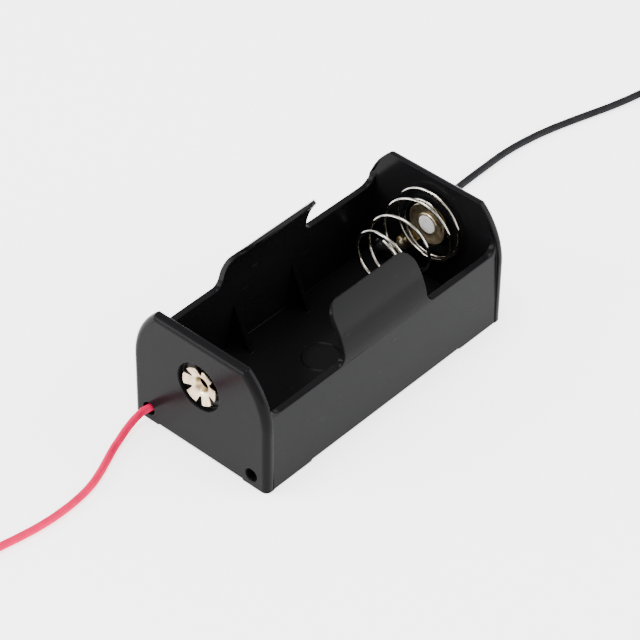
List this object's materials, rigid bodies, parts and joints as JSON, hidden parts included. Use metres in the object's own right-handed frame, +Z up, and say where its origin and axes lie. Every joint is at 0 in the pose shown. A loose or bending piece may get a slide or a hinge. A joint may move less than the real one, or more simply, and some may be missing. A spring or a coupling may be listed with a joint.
{
  "type": "cylindrical cell holder",
  "caption": "Open-topped moulded holder for one C-size cell, with curling side tabs, a riveted contact, a coil spring contact and a flying lead at each end.",
  "frame": {"origin": "on the surface that the four corner feet stand on, below the middle of the case", "axes": "+X across the case, away from the side where the leads come out; +Y along the cell, from the positive contact to the spring; +Z up, out of the bay's open top"},
  "size_m": [0.0401, 0.195, 0.0254],
  "materials": {
    "black_plastic": "satin",
    "nickel_plate": "satin",
    "spring_wire": "polished",
    "brass": "satin",
    "solder": "satin",
    "red_pvc": "satin",
    "black_pvc": "satin",
    "tinned_copper": "bright"
  },
  "bodies": {
    "holder": {"case": "black_plastic", "positive_rivet": "nickel_plate", "positive_solder_tag": "brass", "positive_solder_joint": "solder", "negative_rivet": "nickel_plate", "negative_solder_tag": "brass", "negative_solder_joint": "solder", "red_lead": "red_pvc", "red_lead_coil": "red_pvc", "red_inner_strands": "tinned_copper", "red_end_strands": "tinned_copper", "black_lead": "black_pvc", "black_lead_coil": "black_pvc", "black_inner_strands": "tinned_copper", "black_end_strands": "tinned_copper"},
    "spring": {"negative_spring": "spring_wire"}
  },
  "joints": [
    {"name": "spring_travel", "type": "slide", "parent": "holder", "child": "spring", "axis": [0, 1, 0], "range_m": [0, 0.0087], "stiffness_N_per_m": 400, "deforming": ["negative_spring"]}
  ]
}
